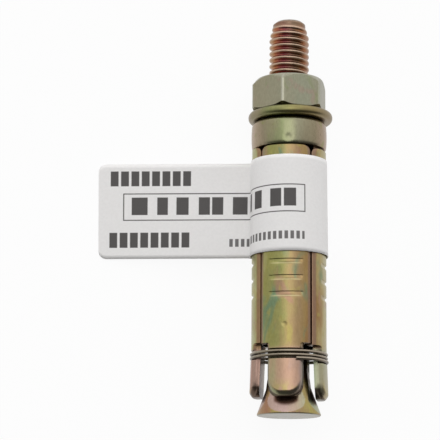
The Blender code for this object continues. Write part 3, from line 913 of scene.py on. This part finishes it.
def ferrule_paint():
    paint = Zinc("ferrule_zinc", 19.0, 0.3)
    tints = [
        (0.66, 0.5, 0.38), (0.4, 0.34, 0.24), (0.4, 0.44, 0.24), (0.44, 0.42, 0.3), (0.38, 0.32, 0.22),
        (0.64, 0.46, 0.36),
    ]
    colour = paint.film(tints, 7.6, 1.6)
    colour = paint.spots(colour, (0.36, 0.38, 0.14), 2.6, 3.0, 0.56, 0.68, 0.6)
    return paint.done(colour)


def wire_paint():
    paint = Zinc("wire_steel", 47.0, 0.3)
    colour = paint.film([(0.5, 0.44, 0.35), (0.44, 0.38, 0.31), (0.54, 0.46, 0.38), (0.5, 0.42, 0.34)])
    # Painted shade on the side of the wire turned towards the cone's end.
    colour = paint.mix(paint.marked("shaded_side") * 0.9, colour, (0.1, 0.075, 0.05))
    return paint.done(colour)


# Where the frame's blocks of print start and end along the strip
big_blocks = [
    (6.2, 9.2), (11.0, 13.0), (14.6, 16.9), (18.8, 20.9), (21.3, 23.4), (25.2, 28.0), (29.0, 31.4),
    (33.0, 35.2), (37.2, 39.4), (39.9, 42.2),
]


def paper_paint():
    """White label stock with plain print: a thin frame, and blocks where the words would be."""
    paint = Paint("label_paper_print", 0.0)
    strip = paint.node("ShaderNodeUVMap", {"uv_map": "strip"})
    along = paint.node("ShaderNodeSeparateXYZ", None, (strip,)) * 100
    up = paint.node("ShaderNodeSeparateXYZ", None, (strip,), 1) * 100

    def inside(value, low, high, soft=0.05):
        return value.ramp(low - soft, low + soft) * value.ramp(high + soft, high - soft)

    def field(left, right, low, high):
        return inside(along, left, right) * inside(up, low, high)

    def blocks(left, right, low, high, pitch, share):
        repeats = ((along - left) / pitch).maths("FRACT")
        return field(left, right, low, high) * inside(repeats, 0.02, share, 0.03)

    ink = field(4.6, 44.0, 7.3, 12.6) - field(4.8, 43.8, 7.5, 12.4)
    for left, right in big_blocks:
        ink = ink.most(field(left, right, 8.4, 11.8))
    ink = ink.most(blocks(2.2, 17.5, 14.0, 16.9, 1.94, 0.78)).most(blocks(2.0, 17.3, 2.1, 5.0, 1.94, 0.78))
    ink = ink.most(blocks(24.6, 43.8, 2.2, 3.7, 1.1, 0.62) * 0.9)
    fibre = paint.grain(0.5, (1, 1, 1), 4, 2)
    soft = paint.grain(9.0, (1, 1, 1), 2, 5)
    colour = paint.colours(fibre, (0.3, (0.86, 0.845, 0.835)), (0.7, (0.9, 0.885, 0.875)))
    colour = paint.mix(soft * 0.1, colour, (0.7, 0.69, 0.68))
    colour = paint.mix(ink, colour, (0.07, 0.064, 0.062))
    return paint.finish(colour, 0.55, fibre, 0.01, 0.3)


def dress(things, material):
    for thing in things:
        thing.data.materials.clear()
        thing.data.materials.append(material)


# Floor, light and camera


def floor_paint():
    material = bpy.data.materials.new("pale_floor")
    material.use_nodes = True
    tree = material.node_tree
    shader = tree.nodes["Principled BSDF"]
    shader.inputs["Base Color"].default_value = (0.9, 0.9, 0.9, 1)
    shader.inputs["Roughness"].default_value = 0.9
    shader.inputs["Specular IOR Level"].default_value = 0.1
    glow = tree.nodes.new("ShaderNodeEmission")
    glow.inputs["Strength"].default_value = 1.0
    path = tree.nodes.new("ShaderNodeLightPath")
    mixer = tree.nodes.new("ShaderNodeMixShader")
    share = tree.nodes.new("ShaderNodeMath")
    share.operation = "MULTIPLY"
    share.inputs[1].default_value = 0.93
    either = tree.nodes.new("ShaderNodeMath")
    either.operation = "MAXIMUM"
    tree.links.new(path.outputs["Is Camera Ray"], either.inputs[0])
    tree.links.new(path.outputs["Is Glossy Ray"], either.inputs[1])
    tree.links.new(either.outputs[0], share.inputs[0])
    tree.links.new(share.outputs[0], mixer.inputs[0])
    tree.links.new(shader.outputs[0], mixer.inputs[1])
    tree.links.new(glow.outputs[0], mixer.inputs[2])
    tree.links.new(mixer.outputs[0], tree.nodes["Material Output"].inputs["Surface"])
    return material


# How bright the room is, from the cone's side (0) to the stud's side (1)
sky_shades = [(0.0, 0.05), (0.38, 0.12), (0.48, 0.9), (0.75, 1.15), (0.92, 1.5), (1.0, 1.6)]


def make_stage():
    bm = bmesh.new()
    bmesh.ops.create_grid(bm, x_segments=1, y_segments=1, size=1.5)
    mesh = bpy.data.meshes.new("floor")
    bm.to_mesh(mesh)
    bm.free()
    floor = bpy.data.objects.new("floor", mesh)
    bpy.context.scene.collection.objects.link(floor)
    floor.data.materials.append(floor_paint())

    world = bpy.data.worlds.new("studio")
    bpy.context.scene.world = world
    world.use_nodes = True
    tree = world.node_tree
    direction = tree.nodes.new("ShaderNodeTexCoord")
    along = tree.nodes.new("ShaderNodeVectorMath")
    along.operation = "DOT_PRODUCT"
    along.inputs[1].default_value = stud_way
    share = tree.nodes.new("ShaderNodeMapRange")
    share.inputs["From Min"].default_value = -1.0
    shades = tree.nodes.new("ShaderNodeValToRGB")
    stops = shades.color_ramp.elements
    for index, (place, shade) in enumerate(sky_shades):
        stop = stops[index] if index < 2 else stops.new(place)
        stop.position = place
        stop.color = (shade, shade, shade, 1)
    tree.links.new(direction.outputs["Generated"], along.inputs[0])
    tree.links.new(along.outputs["Value"], share.inputs["Value"])
    tree.links.new(share.outputs["Result"], shades.inputs["Fac"])
    tree.links.new(shades.outputs["Color"], tree.nodes["Background"].inputs["Color"])


def soft_box(name, place_mm, size_mm, radiance):
    """A soft lamp in the upright frame, pointed at the middle of the anchor."""
    light = bpy.data.lights.new(name, "AREA")
    light.shape = "RECTANGLE"
    light.size, light.size_y = size_mm[0] / 1000, size_mm[1] / 1000
    light.energy = radiance * math.pi * light.size * light.size_y
    lamp = bpy.data.objects.new(name, light)
    where = laid_mm @ Vector(place_mm)
    target = laid_mm @ Vector((0, 0, 38))
    facing = (target - where).normalized()
    side = facing.cross(stud_way).normalized()
    up = side.cross(facing)
    lamp.matrix_world = Matrix.Translation(where) @ Matrix((side, up, -facing)).transposed().to_4x4()
    bpy.context.scene.collection.objects.link(lamp)


def make_camera():
    tilt, roll = math.radians(11.6), math.radians(0.5)
    distance, aside, aim = 333.0, 13.02, 36.84
    focal_px, picture_px, sensor_mm = 1765, 440, 36
    look = Vector((0, math.cos(tilt), math.sin(tilt)))
    level = Vector((1, 0, 0))
    centre = Vector((0, 0, aim)) - level * aside - look * distance
    side = Matrix.Rotation(-roll, 3, look) @ level
    up = side.cross(look)
    data = bpy.data.cameras.new("view")
    data.lens = focal_px / picture_px * sensor_mm
    data.clip_start = 0.01
    camera = bpy.data.objects.new("view", data)
    turn = laid.to_3x3() @ Matrix((side, up, -look)).transposed()
    camera.matrix_world = Matrix.Translation(laid_mm @ centre) @ turn.to_4x4()
    bpy.context.scene.collection.objects.link(camera)
    bpy.context.scene.camera = camera


bpy.context.scene.view_settings.view_transform = "Standard"
make_stage()
make_camera()
soft_box("overhead", (-20, -360, 106), (200, 260), 1.0)

dress([make_bolt()], bolt_paint())
dress([make_nut()], nut_paint())
dress([make_washer()], washer_paint())
dress([make_ferrule()], ferrule_paint())
dress(make_segments(), shield_paint())
dress(make_ring(), wire_paint())
dress([make_label()], paper_paint())
